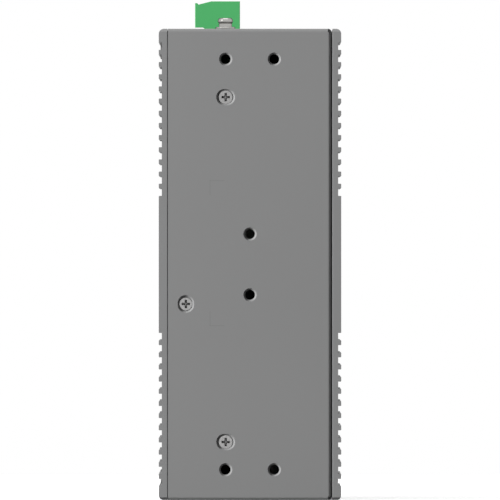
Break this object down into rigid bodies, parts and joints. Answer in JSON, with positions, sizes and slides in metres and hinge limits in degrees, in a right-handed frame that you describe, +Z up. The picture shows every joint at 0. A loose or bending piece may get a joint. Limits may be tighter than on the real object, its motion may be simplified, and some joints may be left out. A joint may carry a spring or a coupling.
{
  "type": "din rail ethernet switch",
  "caption": "Slim metal-cased industrial ethernet switch with grooved side heat sinks, front jacks and cages, a pluggable power terminal and rear mounting threads.",
  "frame": {"origin": "middle of the case's underside", "axes": "+Z up; -Y towards the front with the ports; +Y towards the rear with the mounting threads; +X to the right as seen from the front"},
  "size_m": [0.06, 0.109, 0.1643],
  "materials": {
    "case_paint": "fine grey powder coat",
    "sink_paint": "grey painted extrusion",
    "heat_film": "dark heat film",
    "bare_steel": "plated steel",
    "brass": "plated brass",
    "chrome": "bright nickel",
    "circuit_board": "green board",
    "black_plastic": "black moulding",
    "clear_lens": "milky lens",
    "green_plastic": "green moulding",
    "spreader": "milled aluminium",
    "winding": "taped winding"
  },
  "bodies": {
    "root": {"chassis_tray": "case_paint", "front_panel": "case_paint", "left_heat_sink": "sink_paint", "right_heat_sink": "sink_paint", "heat_film": "heat_film", "chip_pad": "heat_film", "spreader_pad": "heat_film", "wall_mount_nuts": "bare_steel", "rail_clip_nuts": "bare_steel", "carrier_screws": "bare_steel", "bracket_screw": "bare_steel", "cover_bracket": "bare_steel", "cover_screws": "bare_steel", "panel_screws": "bare_steel", "board_carrier": "bare_steel", "power_board_screws": "bare_steel", "port_shield": "bare_steel", "console_shield": "bare_steel", "sfp_cage": "bare_steel", "sfp_divider": "bare_steel", "clamp_cages": "bare_steel", "plug_screws": "bare_steel", "ground_nut": "bare_steel", "power_standoffs": "brass", "header_pins": "brass", "plug_contacts": "brass", "port_contacts": "brass", "console_contacts": "brass", "ground_screw": "chrome", "ground_lock_washer": "chrome", "ground_washer": "chrome", "main_board": "circuit_board", "power_board": "circuit_board", "port_block": "black_plastic", "console_jack": "black_plastic", "sfp_centre_sections": "black_plastic", "sfp_connectors": "black_plastic", "lens_holder": "black_plastic", "switch_chip": "black_plastic", "phy_chips": "black_plastic", "line_transformers": "black_plastic", "link_socket": "black_plastic", "link_plug": "black_plastic", "power_inductor": "black_plastic", "alarm_relay": "black_plastic", "transformer_core": "black_plastic", "input_fuse": "black_plastic", "board_guides": "black_plastic", "port_lights": "clear_lens", "cage_lights": "clear_lens", "status_lenses": "clear_lens", "plug_housing": "green_plastic", "header_housing": "green_plastic", "heat_spreader": "spreader", "bulk_capacitors": "spreader", "transformer_coil": "winding"}
  },
  "joints": []
}
